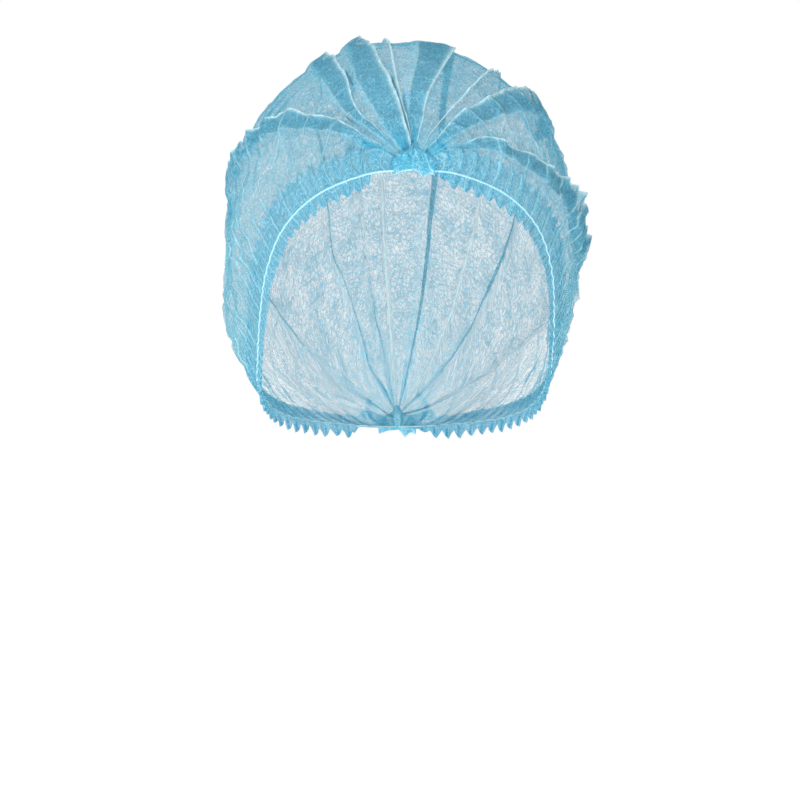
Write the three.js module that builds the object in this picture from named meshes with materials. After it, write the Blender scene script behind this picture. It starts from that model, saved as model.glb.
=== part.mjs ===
// A disposable pleated clip cap (hairnet) of nonwoven cloth, in the form it takes when worn.
// Millimetres, +Z up. The forehead faces -Y and the nape +Y. The origin is where the top of
// the head bears on the inside of the crown.
import * as THREE from "three";

// Driving dimensions
const CROWN_CLOTH = 1.0; // wall of the single cloth of the crown
const HEM_CLOTH = 1.4; // wall of the doubled cloth of the hem and its frill
const ELASTIC_DIAMETER = 1.6;
const GAP = 0.6; // clearance between neighbouring pieces
const HEM_HEIGHT = 12.5; // hem above the elastic, along the cloth
const HEM_SHARE = 0.4; // most of a half arch that the hem may take, close to a gather
const FRILL_DEPTH = 7.0; // frill beyond the elastic
const FRILL_TOOTH = 1.8; // depth of the saw teeth of the frill's edge
const FRILL_FLARE = 0.25; // how far the frill turns outwards, as a share of its depth
const FRILL_FADE = 13.0; // length over which the frill grows to its full depth beside a gather
const FADED_DEPTH = 0.4; // share of the frill's depth that is left at a gather
const FADED_CRIMP = 0.3; // share of the crimps that is left at a gather
const CRIMPS = 46; // crimps of each hem, from gather to gather
const HEM_CRIMP = 1.1; // how far the crimps stand from the mean cloth at the hem's top
const ELASTIC_CRIMP = 0.3; // the same where the elastic holds the cloth down
const FRILL_CRIMP = 1.7; // the same at the edge of the frill
const GATHER_WIDTH = 14.0; // the bunched and welded end of the pleats
const GATHER_HEIGHT = 12.0;
const GATHER_DEPTH = 4.6;
const GATHER_FLUTES = 7;
const FLUTE_DEPTH = 0.22; // depth of the flutes, as a share of the gather's depth
const GATHER_EDGE = 0.18; // thickness of the gather's sides, as a share of its depth
const CROWN_START = 0.022; // first and last station of the crown, between the gathers
const CROWN_END = 0.982;
const CROWN_STATIONS = 44;
const CROWDING = 0.55; // how much closer the stations stand towards the gathers
const PLEAT_SPACING = 3; // degrees kept between the outer pleat lines and the hem
const ELASTIC_STEPS = 64;
const ELASTIC_SIDES = 6;
const CRIMP_SLACK = 0.2; // how much further out the crimps reach within the elastic's width

// Colours of the light blue cloth: one layer, several layers and the bunched ends
const CLOTH_BLUE = 0x9fcfe0;
const HEM_BLUE = 0x83bed6;
const GATHER_BLUE = 0x5ab9dc;
const ELASTIC_WHITE = 0xc9e9f2;

// Stations from the front gather (u = 0) to the back gather (u = 1). Each holds an elliptic
// arch from rim to rim: the rim's half width and place, the top of the arch and how far it
// leans to +X, and the arch's greatest half width on the wearer's right (-X) and left (+X).
const STATIONS = [
  { u: 0.0, rimX: 0, rimY: -92, rimZ: -65, topX: 0, topY: -92, topZ: -62, right: 0, left: 0 },
  { u: 0.07, rimX: 21, rimY: -91, rimZ: -67, topX: 0, topY: -93, topZ: -44, right: 25, left: 24 },
  { u: 0.14, rimX: 44, rimY: -84, rimZ: -76, topX: -1, topY: -87, topZ: -26, right: 49, left: 48 },
  { u: 0.22, rimX: 60, rimY: -71, rimZ: -91, topX: -2, topY: -70, topZ: -11, right: 68, left: 66 },
  { u: 0.3, rimX: 68, rimY: -54, rimZ: -110, topX: -3, topY: -44, topZ: -3, right: 78, left: 77 },
  { u: 0.38, rimX: 71, rimY: -33, rimZ: -130, topX: -4, topY: -14, topZ: 1, right: 83, left: 82 },
  { u: 0.46, rimX: 72, rimY: -12, rimZ: -149, topX: -4, topY: 18, topZ: 0, right: 85, left: 85 },
  { u: 0.54, rimX: 72, rimY: 10, rimZ: -163, topX: -4, topY: 50, topZ: -7, right: 85, left: 85 },
  { u: 0.62, rimX: 69, rimY: 33, rimZ: -173, topX: -3, topY: 79, topZ: -23, right: 85, left: 84 },
  { u: 0.7, rimX: 61, rimY: 53, rimZ: -180, topX: -2, topY: 100, topZ: -48, right: 79, left: 79 },
  { u: 0.79, rimX: 47, rimY: 68, rimZ: -184, topX: -1, topY: 111, topZ: -82, right: 70, left: 70 },
  { u: 0.87, rimX: 28, rimY: 77, rimZ: -186, topX: 0, topY: 107, topZ: -120, right: 52, left: 52 },
  { u: 0.94, rimX: 13, rimY: 80, rimZ: -187, topX: 0, topY: 96, topZ: -152, right: 30, left: 30 },
  { u: 1.0, rimX: 0, rimY: 81, rimZ: -187, topX: 0, topY: 82, topZ: -180, right: 0, left: 0 },
];
const WIDEST = 85; // half width at which a pleat has its full lift
const LIFT_POWER = 0.8; // how fast the lift falls towards the gathers
const BACK_LIFT = 0.7; // share of the lift that is left over the back of the head

// Lines that run from gather to gather over the crown: the crests, bands and feet of the
// pleats. Angles are degrees round the arch from its top, towards +X, at the stations PLEAT_U.
// The lift is how far the cloth stands off the arch there.
const PLEAT_U = [0.02, 0.12, 0.2, 0.3, 0.4, 0.98];
const PLEATS = [
  { name: "right ear", at: [-72, -92, -100, -102, -102, -100], lift: 2.5 },
  { name: "right side", at: [-64, -74, -82, -86, -87, -84], lift: -0.5 },
  { name: "right temple band", at: [-58, -58, -66, -72, -75, -72], lift: 3.5 },
  { name: "right temple crest", at: [-52, -52, -60, -67, -70, -67], lift: 5.5 },
  { name: "right temple foot", at: [-47, -48, -56, -63, -66, -62], lift: 0 },
  { name: "right panel", at: [-43, -43, -44, -48, -50, -49], lift: 0.5 },
  { name: "right crown band", at: [-39, -39, -34, -31, -29, -34], lift: 1.5 },
  { name: "right crown crest", at: [-34, -34, -29, -25, -22, -27], lift: 4 },
  { name: "right crown foot", at: [-29, -31, -26, -22, -19.5, -22], lift: 0.5 },
  { name: "top band", at: [-24, -22, -20, -19, -17, -17], lift: 1 },
  { name: "top crest", at: [-17, -12.5, -13, -13, -13, -12], lift: 6 },
  { name: "top foot", at: [-13, -10, -10, -10, -10, -8], lift: 0 },
  { name: "thin crest", at: [-8, -7, -6.5, -5, -5, -4], lift: 2.5 },
  { name: "thin foot", at: [-4, -4, -3, -2, -2, 0], lift: 0 },
  { name: "middle crest", at: [0, 0, 4, 6, 6, 5], lift: 2.5 },
  { name: "middle band", at: [8, 12, 16, 18, 19, 14], lift: 1.5 },
  { name: "middle foot", at: [12, 15, 19, 21, 22, 18], lift: -0.5 },
  { name: "left panel", at: [20, 25, 28, 31, 33, 27], lift: 0 },
  { name: "left thin crest", at: [25, 28, 31, 34, 36, 33], lift: 2.5 },
  { name: "left crown foot", at: [31, 33, 39, 44, 47, 42], lift: 0 },
  { name: "left crown crest", at: [36, 37, 43, 48, 51, 48], lift: 5.5 },
  { name: "left crown band", at: [43, 47, 54, 60, 62, 58], lift: 2 },
  { name: "left hollow", at: [49, 56, 67, 69, 70, 67], lift: -2 },
  { name: "left temple foot", at: [54, 63, 75, 78, 77, 75], lift: 0.5 },
  { name: "left temple crest", at: [59, 69, 82, 86, 84, 83], lift: 7 },
  { name: "left temple band", at: [65, 79, 92, 97, 97, 93], lift: 3 },
  { name: "left ear", at: [71, 91, 102, 106, 106, 104], lift: 0.5 },
];

const DEGREE = Math.PI / 180;
const ARC_SAMPLES = 80; // steps that measure a half arch
const RIM_SAMPLES = 400; // steps that measure a rim
const STATION_STEP = 0.004; // small steps along and round the surface, for its normals
const ANGLE_STEP = 0.02;

// A smooth curve through (x, y) rows, with the slope at a row taken from its neighbours
function smoothAt(xs, ys, x) {
  const last = xs.length - 1;
  const slope = (i) => {
    const a = Math.max(i - 1, 0);
    const b = Math.min(i + 1, last);
    return (ys[b] - ys[a]) / (xs[b] - xs[a]);
  };
  let i = 0;
  while (i < last - 1 && x > xs[i + 1]) i++;
  const h = xs[i + 1] - xs[i];
  const t = (x - xs[i]) / h;
  const s = 1 - t;
  const start = s * s * (1 + 2 * t) * ys[i] + s * s * t * h * slope(i);
  return start + t * t * (1 + 2 * s) * ys[i + 1] - t * t * s * h * slope(i + 1);
}

const STATION_U = STATIONS.map((row) => row.u);

function column(name, u) {
  return smoothAt(STATION_U, STATIONS.map((row) => row[name]), u);
}

function smoothstep(from, to, x) {
  const t = THREE.MathUtils.clamp((x - from) / (to - from), 0, 1);
  return t * t * (3 - 2 * t);
}

// The elliptic arch of station u on one side (-1 or +1)
function archOf(u, side) {
  const rim = new THREE.Vector3(column("rimX", u), column("rimY", u), column("rimZ", u));
  const top = new THREE.Vector3(column("topX", u), column("topY", u), column("topZ", u));
  const halfWidth = Math.max(column(side < 0 ? "right" : "left", u), rim.x + 0.01);
  const up = new THREE.Vector3(0, top.y - rim.y, top.z - rim.z);
  const height = up.length();
  up.divideScalar(height);
  const below = Math.sqrt(1 - (rim.x / halfWidth) ** 2);
  const radius = height / (1 + below);
  return { rim, top, halfWidth, up, height, radius, below, end: Math.PI / 2 + Math.asin(below) };
}

// A point of the arch at an angle from its top, stood off outwards by lift
function archPoint(arch, angle, lift = 0) {
  const across = (arch.halfWidth + lift) * Math.sin(angle);
  const rise = arch.radius * arch.below + (arch.radius + lift) * Math.cos(angle);
  const lean = arch.top.x * Math.max(0, rise / arch.height);
  const middle = new THREE.Vector3(0, arch.rim.y, arch.rim.z).addScaledVector(arch.up, rise);
  return middle.setX(across + lean);
}

function surfacePoint(u, angle) {
  return archPoint(archOf(u, angle), angle);
}

// Outward normal of the smooth surface
function surfaceNormal(u, angle) {
  const behind = surfacePoint(Math.min(u + STATION_STEP, 1), angle);
  const along = behind.sub(surfacePoint(Math.max(u - STATION_STEP, 0), angle));
  const around = surfacePoint(u, angle + ANGLE_STEP).sub(surfacePoint(u, angle - ANGLE_STEP));
  return around.cross(along).normalize();
}

// The angle at which the arch is a given length of cloth above the rim
function angleAbove(u, side, length) {
  const arch = archOf(u, side);
  let travelled = 0;
  let before = archPoint(arch, side * arch.end);
  for (let i = 1; i <= ARC_SAMPLES; i++) {
    const angle = side * arch.end * (1 - i / ARC_SAMPLES);
    const here = archPoint(arch, angle);
    const step = here.distanceTo(before);
    if (travelled + step >= length) {
      const back = (1 - (length - travelled) / step) / ARC_SAMPLES;
      return angle + side * arch.end * back;
    }
    travelled += step;
    before = here;
  }
  return 0;
}

function halfArchLength(u, side) {
  const arch = archOf(u, side);
  let length = 0;
  for (let i = 0; i < ARC_SAMPLES; i++) {
    const a = archPoint(arch, (side * arch.end * i) / ARC_SAMPLES);
    length += a.distanceTo(archPoint(arch, (side * arch.end * (i + 1)) / ARC_SAMPLES));
  }
  return length;
}

function hemHeight(u, side) {
  return Math.min(HEM_HEIGHT, HEM_SHARE * halfArchLength(u, side));
}

function pleatScale(u) {
  const size = Math.min(1, (column("left", u) / WIDEST) ** LIFT_POWER);
  return size * THREE.MathUtils.lerp(1, BACK_LIFT, smoothstep(0.45, 0.7, u));
}

// A closed wall from a grid of rows of points: the two skins, then the four edges
function wallGeometry(outer, inner) {
  const rows = outer.length;
  const columns = outer[0].length;
  const index = (skin, i, j) => skin * rows * columns + i * columns + j;
  const triangles = [];
  const quad = (a, b, c, d) => triangles.push(a, d, c, a, c, b);
  for (let i = 0; i < rows - 1; i++) {
    for (let j = 0; j < columns - 1; j++) {
      quad(index(0, i, j), index(0, i + 1, j), index(0, i + 1, j + 1), index(0, i, j + 1));
      quad(index(1, i, j), index(1, i, j + 1), index(1, i + 1, j + 1), index(1, i + 1, j));
    }
  }
  for (let i = 0; i < rows - 1; i++) {
    const last = columns - 1;
    quad(index(0, i, 0), index(1, i, 0), index(1, i + 1, 0), index(0, i + 1, 0));
    quad(index(0, i, last), index(0, i + 1, last), index(1, i + 1, last), index(1, i, last));
  }
  for (let j = 0; j < columns - 1; j++) {
    const last = rows - 1;
    quad(index(0, 0, j), index(0, 0, j + 1), index(1, 0, j + 1), index(1, 0, j));
    quad(index(0, last, j), index(1, last, j), index(1, last, j + 1), index(0, last, j + 1));
  }
  const points = [...outer.flat(), ...inner.flat()].flatMap((p) => p.toArray());
  const geometry = new THREE.BufferGeometry();
  geometry.setAttribute("position", new THREE.Float32BufferAttribute(points, 3));
  geometry.setIndex(triangles);
  geometry.computeVertexNormals();
  return geometry;
}

// Normals of a grid of points, from the neighbours of each point
function gridNormals(grid) {
  const rows = grid.length - 1;
  const columns = grid[0].length - 1;
  return grid.map((row, i) =>
    row.map((_, j) => {
      const along = grid[Math.min(i + 1, rows)][j].clone().sub(grid[Math.max(i - 1, 0)][j]);
      const around = row[Math.min(j + 1, columns)].clone().sub(row[Math.max(j - 1, 0)]);
      return around.cross(along).normalize();
    }),
  );
}

function offsetGrid(grid, normals, distance) {
  return grid.map((row, i) => row.map((p, j) => p.clone().addScaledVector(normals[i][j], distance)));
}

function thicken(grid, normals, thickness) {
  return wallGeometry(offsetGrid(grid, normals, thickness / 2), offsetGrid(grid, normals, -thickness / 2));
}

// The crown's stations, crowded towards the gathers
function crownStations() {
  return Array.from({ length: CROWN_STATIONS }, (_, i) => {
    const t = i / (CROWN_STATIONS - 1);
    const crowded = t - (CROWDING * Math.sin(2 * Math.PI * t)) / (2 * Math.PI);
    return THREE.MathUtils.lerp(CROWN_START, CROWN_END, crowded);
  });
}

// The pleated crown, from gather to gather and from hem to hem
function crownGeometry() {
  const grid = crownStations().map((u) => {
    const right = angleAbove(u, -1, hemHeight(u, -1) + GAP);
    const left = angleAbove(u, 1, hemHeight(u, 1) + GAP);
    const pleats = PLEATS.map((pleat, j) => {
      const low = right + DEGREE * PLEAT_SPACING * (j + 1);
      const high = left - DEGREE * PLEAT_SPACING * (PLEATS.length - j);
      const angle = THREE.MathUtils.clamp(DEGREE * smoothAt(PLEAT_U, pleat.at, u), low, high);
      return archPoint(archOf(u, angle), angle, pleat.lift * pleatScale(u));
    });
    return [surfacePoint(u, right), ...pleats, surfacePoint(u, left)];
  });
  return thicken(grid, gridNormals(grid), CROWN_CLOTH);
}

// Stations at even distances along a rim between the gathers, each with its distance from the
// nearer end
function rimStations(count) {
  const rimPoint = (i) => archOf(i / RIM_SAMPLES, 1).rim;
  const lengths = [0];
  for (let i = 1; i <= RIM_SAMPLES; i++) {
    lengths.push(lengths[i - 1] + rimPoint(i).distanceTo(rimPoint(i - 1)));
  }
  const margin = GATHER_WIDTH / 2 + GAP;
  const total = lengths[RIM_SAMPLES] - 2 * margin;
  return Array.from({ length: count }, (_, k) => {
    const travelled = (total * k) / (count - 1);
    const target = margin + travelled;
    let i = 0;
    while (lengths[i + 1] < target) i++;
    const part = (target - lengths[i]) / (lengths[i + 1] - lengths[i]);
    return { u: (i + part) / RIM_SAMPLES, fromEnd: Math.min(travelled, total - travelled) };
  });
}

// Place, outward normal and downward direction of the rim at station u
function rimFrame(u, side) {
  const end = archOf(u, side).end * side;
  const point = surfacePoint(u, end);
  const normal = surfaceNormal(u, end);
  const next = u + STATION_STEP;
  const along = surfacePoint(next, archOf(next, side).end * side).sub(point);
  const down = along.cross(normal).normalize().multiplyScalar(side);
  return { point, normal, down };
}

// The doubled hem above the elastic and the crimped frill below it, as one strip
function hemGeometry(side) {
  const rows = rimStations(2 * CRIMPS + 1).map(({ u, fromEnd }, k) => {
    const wave = k % 2 === 0 ? 1 : -1;
    const grown = smoothstep(0, FRILL_FADE, fromEnd);
    const crimp = wave * THREE.MathUtils.lerp(FADED_CRIMP, 1, grown);
    const tooth = wave < 0 ? FRILL_TOOTH : 0;
    const depth = (FRILL_DEPTH - tooth) * THREE.MathUtils.lerp(FADED_DEPTH, 1, grown);
    const { point, normal, down } = rimFrame(u, side);
    const topAngle = angleAbove(u, side, hemHeight(u, side));
    const topNormal = surfaceNormal(u, topAngle);
    const top = surfacePoint(u, topAngle).addScaledVector(topNormal, HEM_CRIMP * crimp);
    const middle = point.clone().addScaledVector(normal, ELASTIC_CRIMP * crimp);
    const flare = FRILL_FLARE * depth + FRILL_CRIMP * crimp;
    const edge = point.clone().addScaledVector(down, depth).addScaledVector(normal, flare);
    const row = { points: [top, middle, edge], normals: [topNormal, normal, normal] };
    return side < 0 ? { points: row.points.reverse(), normals: row.normals.reverse() } : row;
  });
  return thicken(rows.map((row) => row.points), rows.map((row) => row.normals), HEM_CLOTH);
}

// The elastic cord that lies along the foot of the hem
function elasticGeometry(side) {
  const radius = ELASTIC_DIAMETER / 2;
  const off = HEM_CLOTH / 2 + ELASTIC_CRIMP + CRIMP_SLACK + GAP / 2 + radius;
  const points = rimStations(ELASTIC_STEPS / 2 + 1).map(({ u }) => {
    const { point, normal } = rimFrame(u, side);
    return point.addScaledVector(normal, off);
  });
  const section = new THREE.Shape();
  for (let k = 0; k < ELASTIC_SIDES; k++) {
    const angle = (2 * Math.PI * k) / ELASTIC_SIDES;
    const x = radius * Math.cos(angle);
    const y = radius * Math.sin(angle);
    if (k === 0) section.moveTo(x, y);
    else section.lineTo(x, y);
  }
  section.closePath();
  return new THREE.ExtrudeGeometry(section, {
    steps: ELASTIC_STEPS,
    bevelEnabled: false,
    extrudePath: new THREE.CatmullRomCurve3(points),
  });
}

// The bunched end of the pleats: a fluted pad, pinched at its waist. It lies in the XZ plane
// and stands out towards -Y, with its back face at y = 0.
function gatherGeometry() {
  const profile = [
    { z: -0.5, width: 0.72, depth: 0.5 },
    { z: -0.2, width: 1.0, depth: 0.9 },
    { z: 0.05, width: 0.88, depth: 1.0 },
    { z: 0.3, width: 0.95, depth: 0.8 },
    { z: 0.5, width: 0.62, depth: 0.45 },
  ];
  const around = 4 * GATHER_FLUTES;
  const rings = profile.map((row) => {
    const front = [];
    for (let k = 0; k < around; k++) {
      const t = (Math.PI * k) / (around - 1);
      const flute = 1 - FLUTE_DEPTH * ((k >> 1) % 2);
      const x = -Math.cos(t) * row.width * (GATHER_WIDTH / 2);
      const bulge = GATHER_EDGE + (1 - GATHER_EDGE) * Math.sin(t) * flute;
      const y = -bulge * row.depth * GATHER_DEPTH;
      front.push(new THREE.Vector3(x, y, row.z * GATHER_HEIGHT));
    }
    return front;
  });
  const back = rings.map((ring) => ring.map((p) => new THREE.Vector3(p.x, 0, p.z)));
  return wallGeometry(rings, back);
}

function clothMaterial(color) {
  return new THREE.MeshStandardMaterial({ color, roughness: 0.85, metalness: 0 });
}

function piece(name, geometry, color) {
  const mesh = new THREE.Mesh(geometry, clothMaterial(color));
  mesh.name = name;
  return mesh;
}

const cap = new THREE.Group();
cap.add(piece("crown", crownGeometry(), CLOTH_BLUE));
cap.add(piece("hem_right", hemGeometry(-1), HEM_BLUE));
cap.add(piece("hem_left", hemGeometry(1), HEM_BLUE));
cap.add(piece("elastic_right", elasticGeometry(-1), ELASTIC_WHITE));
cap.add(piece("elastic_left", elasticGeometry(1), ELASTIC_WHITE));

// The gathers lie against the outside of the crown's two ends
const frontGather = piece("gather_front", gatherGeometry(), GATHER_BLUE);
frontGather.position.set(0, -94.8, -62);
const backGather = piece("gather_back", gatherGeometry(), GATHER_BLUE);
backGather.rotation.set(-20 * DEGREE, 0, Math.PI);
backGather.position.set(0, 85.8, -181);
cap.add(frontGather, backGather);

export default cap;
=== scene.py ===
import math

import bpy
import numpy as np
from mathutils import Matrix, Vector


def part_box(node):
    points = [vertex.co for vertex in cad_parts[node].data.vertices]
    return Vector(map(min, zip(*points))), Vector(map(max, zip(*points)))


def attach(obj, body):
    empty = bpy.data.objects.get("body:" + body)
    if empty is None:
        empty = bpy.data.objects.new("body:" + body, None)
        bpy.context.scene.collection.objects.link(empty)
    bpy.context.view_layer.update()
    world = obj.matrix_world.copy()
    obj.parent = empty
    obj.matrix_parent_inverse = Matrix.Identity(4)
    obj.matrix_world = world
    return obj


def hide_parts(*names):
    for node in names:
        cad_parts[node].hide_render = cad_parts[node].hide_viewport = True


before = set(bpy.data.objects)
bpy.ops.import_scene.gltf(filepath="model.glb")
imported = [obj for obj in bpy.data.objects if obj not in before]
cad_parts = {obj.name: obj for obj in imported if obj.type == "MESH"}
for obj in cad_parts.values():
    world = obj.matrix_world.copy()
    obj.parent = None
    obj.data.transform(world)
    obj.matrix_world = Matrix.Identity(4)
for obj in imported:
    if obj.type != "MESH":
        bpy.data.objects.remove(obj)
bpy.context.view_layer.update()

# A disposable pleated clip cap of thin nonwoven cloth, in the form it takes when worn.
# Lengths here are millimetres and angles are degrees; make_mesh turns them to metres.
# The forehead faces -Y. Angles run round the head from the top of the crown towards +X.

MM = 0.001

# Colours of the cloth: its web, its pale fibres and crease lines (also used for painted highlights
# along creases), several layers, the gathers, painted shade in deep hollows and beside the crimps'
# creases, and painted highlights on the crests of the pleats
WEB_BLUE = (0.09, 0.42, 0.58, 1)
PALE_BLUE = (0.50, 0.86, 0.96, 1)
DEEP_BLUE = (0.08, 0.53, 0.75, 1)
GATHER_BLUE = (0.07, 0.62, 0.86, 1)
# The hollow colour is painted shade, in deep hollows and beside the crimps' creases
HOLLOW_SHADE_BLUE = (0.02, 0.43, 0.70, 1)
# The crest colour is a painted highlight on the crests and creases of the pleats
CREST_HIGHLIGHT_BLUE = (0.72, 0.96, 1.0, 1)

CRIMPS = 46  # crimps of each hem, from gather to gather
ROWS_PER_CRIMP = 6
HEM_ROWS_PER_CRIMP = 16
CRIMP_WARP = 0.28  # how far a crimp strays from its even place, in crimps
GATHER_MARGIN = 0.8  # length of rim left out at each end, inside the gathers
HEM_HEIGHT = 12.5  # hem above the elastic, along the cloth
HEM_SHARE = 0.4  # most of a half arch that the hem may take, close to a gather
HEM_CRIMP = 1.6  # how far the crimps stand from the mean cloth at the hem's top
ELASTIC_CRIMP = 0.45  # the same where the elastic holds the cloth down
FRILL_CRIMP = 1.5  # the same at the edge of the frill
PANEL_CRIMP = 0.35  # the same high on the crown
CRIMP_REACH = 8.0  # length of cloth over which the crimps fade above the hem
RUCK = 2.4  # height of the wider rucks that the crimps run together into, on the sides
SIDE_HEIGHT = 70.0  # how far above the hem the sides of the crown reach
SIDE_THIN = 0.36  # how much thinner the loose cloth of the sides lies than the rest
SIDE_CRUMPLE = 1.7  # height of its small wrinkles
CREST_FADE = 5.0  # how fast the painted highlight of a crest fades away from it
# Painted shade in deep hollows beside the front gather: angle and its spread, station and its
# spread
HOLLOW_SHADES = ((-70, 5.5, 0.052, 0.02), (56, 6.0, 0.045, 0.02), (-16, 4.0, 0.03, 0.018))
FRILL_DEPTH = 7.2
FRILL_TOOTH = 3.0  # depth of the saw teeth of the frill's edge
FRILL_FLARE = 0.25  # how far the frill turns outwards, as a share of its depth
SPIKE = 6.0  # height of the points on the free edge of the inner hem cloth
PLY_GAP = 0.5  # between the two cloths of the hem
ELASTIC_RADIUS = 0.4
WIDEST = 85.0  # half width at which a pleat has its full lift
LIFT_POWER = 0.8
BACK_OPEN = 0.82  # share of a pleat's width that the head pulls open at the back
BACK_LIFT = 0.7  # share of the lift that is left over the back of the head
FLUTE_REACH = 0.12  # how far along the cap the small folds at each gather run

# Stations from the front gather to the back gather. Each holds an elliptic arch from rim to
# rim: the rim's half width and place, the arch's top and how far it leans to +X, and its
# greatest half width on the wearer's right (-X) and left (+X).
STATION_COLUMNS = (
    "u", "rim_x", "rim_y", "rim_z", "top_x", "top_y", "top_z", "right", "left",
)
STATIONS = (
    (0.00, 0, -92, -65, 0, -92, -62, 0, 0),
    (0.07, 21, -91, -67, 0, -93, -44, 25, 24),
    (0.14, 44, -84, -76, -1, -87, -26, 49, 48),
    (0.22, 60, -71, -91, -2, -70, -11, 68, 66),
    (0.30, 68, -54, -110, -3, -44, -3, 78, 77),
    (0.38, 71, -33, -130, -4, -14, 1, 83, 82),
    (0.46, 72, -12, -149, -4, 18, 0, 85, 85),
    (0.54, 72, 10, -163, -4, 50, -7, 85, 85),
    (0.62, 69, 33, -173, -3, 79, -23, 85, 84),
    (0.70, 61, 53, -180, -2, 100, -48, 79, 79),
    (0.79, 47, 68, -184, -1, 111, -82, 70, 70),
    (0.87, 28, 77, -186, 0, 107, -120, 52, 52),
    (0.94, 13, 80, -187, 0, 96, -152, 30, 30),
    (1.00, 0, 81, -187, 0, 82, -180, 0, 0),
)

# Lines that run from gather to gather. A panel line is plain cloth and a ridge is a small
# pinched fold. A pleat is three layers of cloth between its crest and its edge: the top one
# ends in the crest, turns under to the edge, and comes back out below the crest. Angles are
# at the stations LINE_U. Columns are how many strips of cloth follow the line, and wave is
# how far it wanders, in millimetres.
LINE_U = (0.02, 0.05, 0.10, 0.15, 0.20, 0.28, 0.38, 0.60, 0.98)
LINE_COLUMNS = ("name", "kind", "crest", "edge", "lift", "wave", "columns")
LINES = (
    ("right ear", "panel", (-74, -84, -90, -93, -95, -97, -99, -98, -94), None, 2.5, 0.8, 10),
    ("right side", "panel", (-72, -78, -77, -79, -81, -84, -87, -87, -84), None, -0.5, 0.8, 8),
    ("right temple", "pleat", (-62, -59, -52, -57, -61, -67, -70, -70, -67),
     (-68, -70, -63, -66, -69, -74, -76, -76, -74), 5.5, 2.2, 14),
    ("right panel", "panel", (-54, -52, -48, -48, -47, -46, -46, -48, -49), None, 0.5, 0.6, 14),
    ("right crown", "pleat", (-38, -37, -36, -32, -29, -25.5, -23.5, -25, -27),
     (-44, -45, -46, -41.5, -38, -33, -30.5, -32, -33), 4.0, 1.5, 8),
    ("top", "pleat", (-9, -9, -9, -10.5, -12, -12, -13, -13, -12),
     (-30, -31, -28, -25.5, -23, -19, -17.5, -17, -16), 5.0, 0.8, 5),
    ("thin", "ridge", (-5, -5, -6.5, -6.5, -6, -5, -4, -4, -4), None, 2.8, 0.3, 5),
    ("middle", "pleat", (8, 8, 10, 13, 16, 18, 19.5, 19, 14),
     (-3, -3, -2, 1, 4, 5.5, 7, 7, 5), 2.6, 0.4, 10),
    ("left thin", "ridge", (26, 26, 28, 31, 32.5, 34, 36, 36, 33), None, 2.6, 0.6, 8),
    ("left crown", "pleat", (36, 35, 35, 41, 44.5, 48, 50.5, 51, 48),
     (44, 47, 50, 54, 56.5, 59, 60.5, 60, 58), 5.5, 0.8, 8),
    ("left hollow", "panel", (53, 54, 56, 66, 69, 71, 72, 71, 67), None, -1.0, 0.6, 10),
    ("left temple", "pleat", (64, 62, 63, 80, 87, 88, 88, 87, 84),
     (71, 73, 77, 90, 94, 97, 98, 97, 93), 7.0, 2.0, 10),
    ("left ear", "panel", (74, 78, 86, 97, 102, 105, 106, 105, 102), None, 0.8, 0.8, 9),
)
# A pleat's profile: where each of its lines lies, from 0 at the crest to 1 at the edge plus
# a length of cloth in millimetres, its height as a share of the pleat's lift, how many
# strips of cloth lie between it and the next line outwards, and how strongly a highlight is painted
# along it.
PLEAT_PROFILE = (
    {"part": "start", "at": 1.0, "past": 4.5, "height": 0.08, "columns": 5, "crease": 0},
    {"part": "shoulder", "at": 1.0, "past": 1.0, "height": 0.62, "columns": 9, "crease": 0.3},
    {"part": "crest", "at": 0.0, "past": 0.0, "height": 1.0, "columns": 8, "crease": 1},
    {"part": "edge", "at": 1.0, "past": 0.0, "height": 0.4, "columns": 8, "crease": 0.6},
    {"part": "foot", "at": 0.0, "past": -1.6, "height": 0.0, "columns": 0, "crease": 0},
)
RIDGE_HALF = 1.9  # half width of a ridge at its foot
EDGE_COLUMNS = 12  # strips of cloth between the hem and the first line
CRIMP_LENGTH = 6.2  # length of cloth that the wrinkles count for each crimp
SHARP_ANGLE = 38  # folds sharper than this are shaded as edges
# Shares of the frill's depth at the lines of its outer cloth and, on the way back, its inner
FRILL_OUT = (0.12, 0.3, 0.5, 0.7, 0.88, 1.0)
FRILL_BACK = (0.88, 0.7, 0.5, 0.3, 0.12)
OUTER_STEPS = 12  # strips of cloth in the outer cloth of the hem, above the elastic
INNER_STEPS = 15  # the same in the inner cloth

# The front gather from its top, where the pleats run together, to the band of cloth that the
# hems end in, under them: height, half width, how far it stands out, and depth of its folds.
GATHER_COLUMNS = ("z", "half", "out", "fold")
GATHER = (
    (6.0, 1.0, 0.8, 0.1),
    (4.4, 1.6, 1.5, 0.25),
    (2.8, 2.4, 1.9, 0.35),
    (1.2, 4.4, 1.9, 0.35),
    (-0.6, 8.0, 1.7, 0.3),
    (-2.6, 9.8, 1.7, 0.25),
    (-4.8, 10.0, 1.8, 0.2),
    (-7.2, 9.6, 1.7, 0.2),
)
FLAP_DEPTH = 3.4  # how far the small flap hangs below that band
FLAP_PLACE = 0.42  # its tip and its half width, as shares of the band's half width
FLAP_HALF = 0.34
RAY_ANGLE = 19.0  # between the small folds that spread out from its top

FLOOR = -0.48  # height of the floor, in metres
FLOOR_RADIUS = 8.0
FLOOR_SIDES = 96
SURROUND = 0.3  # strength of the light from all round; the camera sees it as plain white
# Soft lamps: place and size in metres, power in watts
LAMP_COLUMNS = ("name", "place", "size", "power")
LAMPS = (
    ("key", (-1.2, -1.5, 1.2), 0.9, 33.0),
    ("fill", (1.5, -1.6, 0.2), 1.6, 8.0),
    ("top", (0.2, 0.3, 1.6), 0.9, 6.0),
    ("back", (0.0, 2.2, 0.2), 3.0, 12.0),
)
# Place of the camera in metres, its turn in degrees and its lens in millimetres
CAMERA_PLACE = (-0.0847, -1.8901, -0.1733)
CAMERA_TURN = (90, 0, -2.5)
CAMERA_LENS = 172.35
CAMERA_SENSOR = 36
LAMP_AIM = (0, 0, -0.09)  # the point that every lamp faces, in metres


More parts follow.
